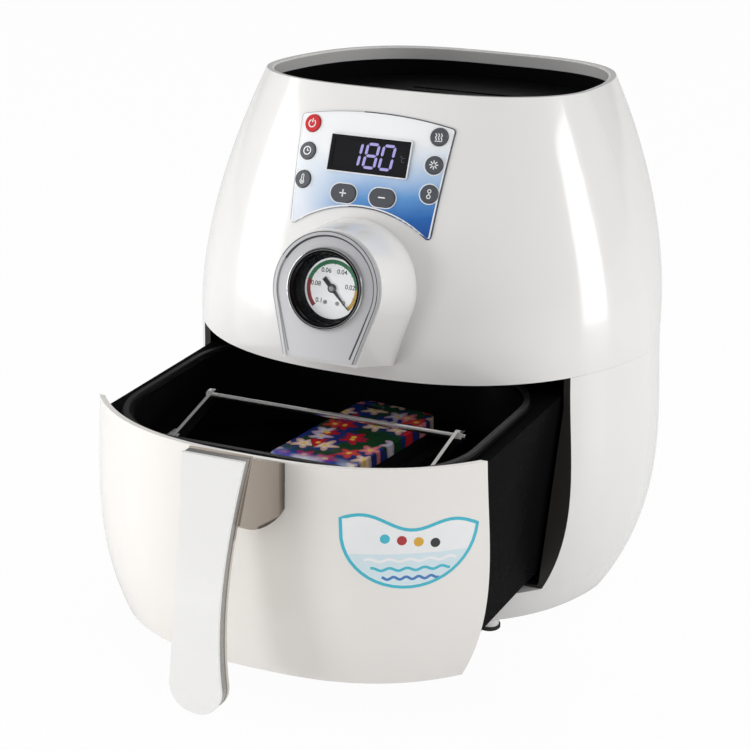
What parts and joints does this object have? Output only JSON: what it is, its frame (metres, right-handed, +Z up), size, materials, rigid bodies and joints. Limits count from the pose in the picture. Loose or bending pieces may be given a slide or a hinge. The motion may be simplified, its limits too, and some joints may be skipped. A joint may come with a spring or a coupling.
{
  "type": "vacuum sublimation heat press",
  "caption": "Table-top vacuum heat press with an egg-shaped housing, vacuum gauge, control overlay and a pull-out drawer that holds a pan, clamping bail and mould.",
  "frame": {"origin": "on the floor, under the middle of the body", "axes": "+Z up; the drawer and the handle face -Y; +X runs across the body, to the right for somebody who faces its front"},
  "size_m": [0.3459, 0.5443, 0.378],
  "materials": {
    "housing_white": "glossy white moulding",
    "drawer_white": "glossy warm white moulding",
    "black_gloss": "glossy black moulding",
    "black_matte": "matt black moulding",
    "pan_coat": "black non-stick coating",
    "overlay": "printed overlay, white to blue",
    "silver": "silver lacquer",
    "chrome_trim": "polished plating",
    "bright_steel": "bright drawn steel",
    "inner_steel": "galvanised sheet",
    "dial_white": "printed card dial",
    "needle_black": "black paint",
    "clear_glass": "clear pane",
    "smoked_window": "smoked window",
    "button_grey": "dark grey dome",
    "button_red": "red lens",
    "rubber_black": "matt rubber",
    "seal_black": "silicone rubber",
    "circuit_green": "solder mask",
    "motor_steel": "grey enamel",
    "brass_fitting": "plain brass",
    "hose_clear": "silicone hose",
    "mould_metal": "aluminium with a black coat",
    "cover_print": "printed glossy cover",
    "terminal_black": "black terminal moulding",
    "screw_zinc": "zinc plated"
  },
  "bodies": {
    "body": {"base_pan": "housing_white", "base_screws": "screw_zinc", "bay_liner": "black_gloss", "control_board": "circuit_green", "control_panel": "overlay", "display_bezel": "chrome_trim", "display_module": "black_matte", "display_window": "smoked_window", "drawer_rails": "black_matte", "equipment_deck": "inner_steel", "fan_motor": "motor_steel", "foot_pads": "rubber_black", "gauge_badge": "silver", "gauge_bezel": "chrome_trim", "gauge_case": "black_matte", "gauge_dial": "dial_white", "gauge_fitting": "brass_fitting", "gauge_glass": "clear_glass", "heat_shield": "inner_steel", "heater": "bright_steel", "lower_housing": "housing_white", "motor_bracket": "inner_steel", "power_inlet": "terminal_black", "rear_vent": "black_matte", "solenoid_valve": "brass_fitting", "supply_board": "circuit_green", "switch_frame": "terminal_black", "temperature_sensors": "bright_steel", "terminal_plate": "terminal_black", "top_insert": "black_gloss", "upper_housing": "housing_white", "vacuum_hoses": "hose_clear", "vacuum_pump": "motor_steel"},
    "bail": {"bail_arms": "bright_steel", "bail_nuts": "bright_steel", "bail_rod": "bright_steel"},
    "drawer": {"bail_brackets": "bright_steel", "bail_screws": "bright_steel", "drawer_front": "drawer_white", "drawer_tub": "black_gloss", "handle_back": "drawer_white", "handle_band": "silver", "handle_face": "drawer_white", "handle_screws": "screw_zinc", "inner_pan": "pan_coat", "pan_seal": "seal_black", "rim_catches": "black_matte"},
    "button_heat": {"button_heat": "button_grey"},
    "button_minus": {"button_minus": "button_grey"},
    "button_plus": {"button_plus": "button_grey"},
    "button_power": {"button_power": "button_red"},
    "button_temperature": {"button_temperature": "button_grey"},
    "button_time": {"button_time": "button_grey"},
    "button_timer": {"button_timer": "button_grey"},
    "button_vacuum": {"button_vacuum": "button_grey"},
    "fan": {"fan": "inner_steel"},
    "needle": {"gauge_needle": "needle_black"},
    "mould": {"phone_mould": "mould_metal"},
    "cover": {"printed_cover": "cover_print"},
    "rocker": {"rocker": "terminal_black"}
  },
  "joints": [
    {"name": "drawer_slide", "type": "slide", "parent": "body", "child": "drawer", "axis": [0, -1, 0], "range_m": [-0.145, 0.03]},
    {"name": "bail_swing", "type": "hinge", "parent": "drawer", "child": "bail", "pos_m": [0, -0.245, 0.158], "axis": [1, 0, 0], "range_deg": [0, 110]},
    {"name": "mould_lift", "type": "slide", "parent": "drawer", "child": "mould", "axis": [0, 0, 1], "range_m": [0, 0.004]},
    {"name": "cover_lift", "type": "slide", "parent": "mould", "child": "cover", "axis": [0, 0, 1], "range_m": [0, 0.005]},
    {"name": "gauge_sweep", "type": "hinge", "parent": "body", "child": "needle", "pos_m": [0, -0.19096, 0.26054], "axis": [0, -0.9686, 0.2487], "range_deg": [0, 270], "stiffness_Nm_per_rad": 0.0002, "springref_deg": -5.73},
    {"name": "fan_spin", "type": "hinge", "parent": "body", "child": "fan", "pos_m": [0, 0, 0.229], "axis": [0, 0, 1], "continuous": true},
    {"name": "switch_rock", "type": "hinge", "parent": "body", "child": "rocker", "pos_m": [-0.026, 0.136, 0.08], "axis": [-1, 0, 0], "range_deg": [0, 16]},
    {"name": "press_power", "type": "slide", "parent": "body", "child": "button_power", "axis": [0.1399, 0.8873, -0.4395], "range_m": [0, 0.001], "stiffness_N_per_m": 300, "springref_m": -0.001},
    {"name": "press_time", "type": "slide", "parent": "body", "child": "button_time", "axis": [0.1361, 0.9016, -0.4106], "range_m": [0, 0.001], "stiffness_N_per_m": 300, "springref_m": -0.001},
    {"name": "press_temperature", "type": "slide", "parent": "body", "child": "button_temperature", "axis": [0.1338, 0.9159, -0.3784], "range_m": [0, 0.001], "stiffness_N_per_m": 300, "springref_m": -0.001},
    {"name": "press_heat", "type": "slide", "parent": "body", "child": "button_heat", "axis": [-0.1399, 0.8873, -0.4395], "range_m": [0, 0.001], "stiffness_N_per_m": 300, "springref_m": -0.001},
    {"name": "press_vacuum", "type": "slide", "parent": "body", "child": "button_vacuum", "axis": [-0.1361, 0.9016, -0.4106], "range_m": [0, 0.001], "stiffness_N_per_m": 300, "springref_m": -0.001},
    {"name": "press_timer", "type": "slide", "parent": "body", "child": "button_timer", "axis": [-0.1338, 0.9159, -0.3784], "range_m": [0, 0.001], "stiffness_N_per_m": 300, "springref_m": -0.001},
    {"name": "press_plus", "type": "slide", "parent": "body", "child": "button_plus", "axis": [0.016, 0.9288, -0.3702], "range_m": [0, 0.001], "stiffness_N_per_m": 300, "springref_m": -0.001},
    {"name": "press_minus", "type": "slide", "parent": "body", "child": "button_minus", "axis": [-0.016, 0.9288, -0.3702], "range_m": [0, 0.001], "stiffness_N_per_m": 300, "springref_m": -0.001}
  ]
}
